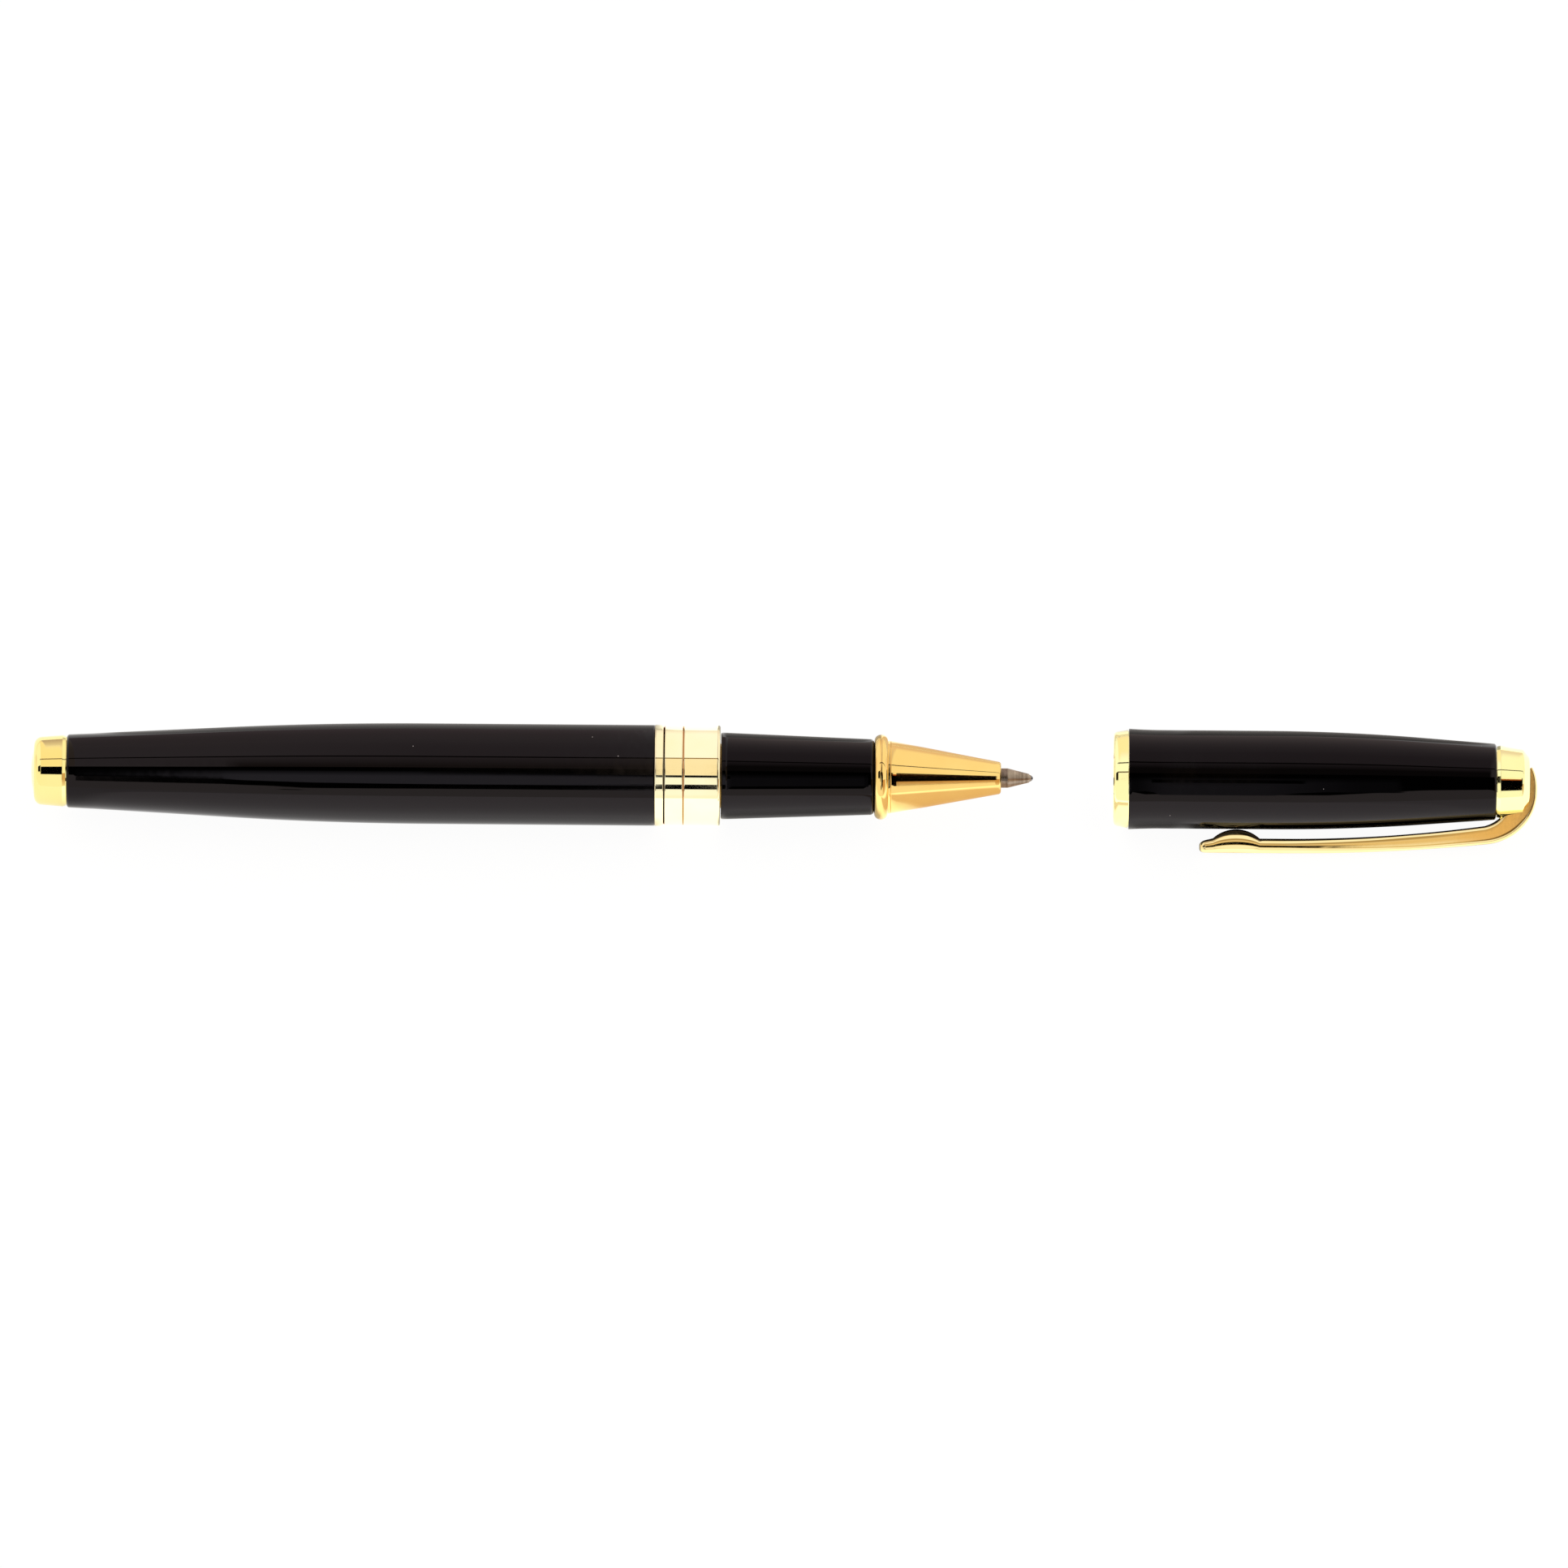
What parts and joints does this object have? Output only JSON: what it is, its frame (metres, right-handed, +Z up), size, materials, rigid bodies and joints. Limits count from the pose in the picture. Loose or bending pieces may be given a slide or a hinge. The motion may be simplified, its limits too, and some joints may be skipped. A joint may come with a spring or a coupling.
{
  "type": "rollerball pen",
  "caption": "Capped rollerball pen: tapered lacquered barrel, gold trim, screwed-in section, refill with rolling ball, and a pull-off cap with a sprung clip.",
  "frame": {"origin": "on the table, below the middle of the pen and its pulled-off cap together", "axes": "+X along the pen from its rear to its writing tip and on to the cap's end, +Z up from the table, -Y towards the side on which the clip lies"},
  "size_m": [0.1856, 0.014, 0.0125],
  "materials": {
    "black_lacquer": "gloss",
    "gold_plate": "polished",
    "turned_brass": "satin",
    "spring_steel": "satin",
    "point_steel": "satin",
    "ball_carbide": "polished",
    "refill_plastic": "satin",
    "white_plastic": "satin",
    "ink_fibre": "matte"
  },
  "bodies": {
    "barrel": {"barrel_shell": "black_lacquer", "barrel_finial": "gold_plate", "end_bush": "turned_brass", "refill_spring": "spring_steel", "centre_sleeve": "turned_brass", "narrow_ring": "gold_plate", "middle_ring": "gold_plate", "wide_ring": "gold_plate"},
    "refill": {"refill_tube": "refill_plastic", "refill_plug": "white_plastic", "ink_reservoir": "ink_fibre", "feed_wick": "ink_fibre", "refill_nose": "refill_plastic", "refill_point": "point_steel"},
    "ball": {"writing_ball": "ball_carbide"},
    "section": {"section_core": "turned_brass", "grip_shell": "black_lacquer", "grip_ring": "gold_plate", "nose_cone": "gold_plate"},
    "cap": {"cap_shell": "black_lacquer", "cap_lip_ring": "gold_plate", "cap_liner": "white_plastic", "liner_screw": "spring_steel", "clip_carrier": "turned_brass", "cap_finial": "gold_plate", "clip_pin": "spring_steel", "clip_spring": "spring_steel"},
    "clip": {"clip": "gold_plate"}
  },
  "joints": [
    {"name": "section_travel", "type": "slide", "parent": "barrel", "child": "refill", "axis": [1, 0, 0], "range_m": [0, 0.003], "deforming": ["refill_spring"]},
    {"name": "section_unscrew", "type": "hinge", "parent": "refill", "child": "section", "pos_m": [-0.00785, 0.00075, 0.00625], "axis": [1, 0, 0], "range_deg": [0, 1440]},
    {"name": "ball_roll", "type": "hinge", "parent": "refill", "child": "ball", "pos_m": [0.03033, 0.00075, 0.00625], "axis": [0, 1, 0], "continuous": true},
    {"name": "cap_pull", "type": "slide", "parent": "barrel", "child": "cap", "axis": [1, 0, 0], "range_m": [-0.0484, 0]},
    {"name": "clip_open", "type": "hinge", "parent": "cap", "child": "clip", "pos_m": [0.08962, -0.00053, 0.00529], "axis": [0, -0.5982, 0.8013], "range_deg": [0, 5], "stiffness_Nm_per_rad": 0.8, "springref_deg": -2.86, "deforming": ["clip_spring"]}
  ],
  "couplings": [
    {"joint": "section_travel", "follows": "section_unscrew", "m_per_rad": 0.00011937}
  ]
}
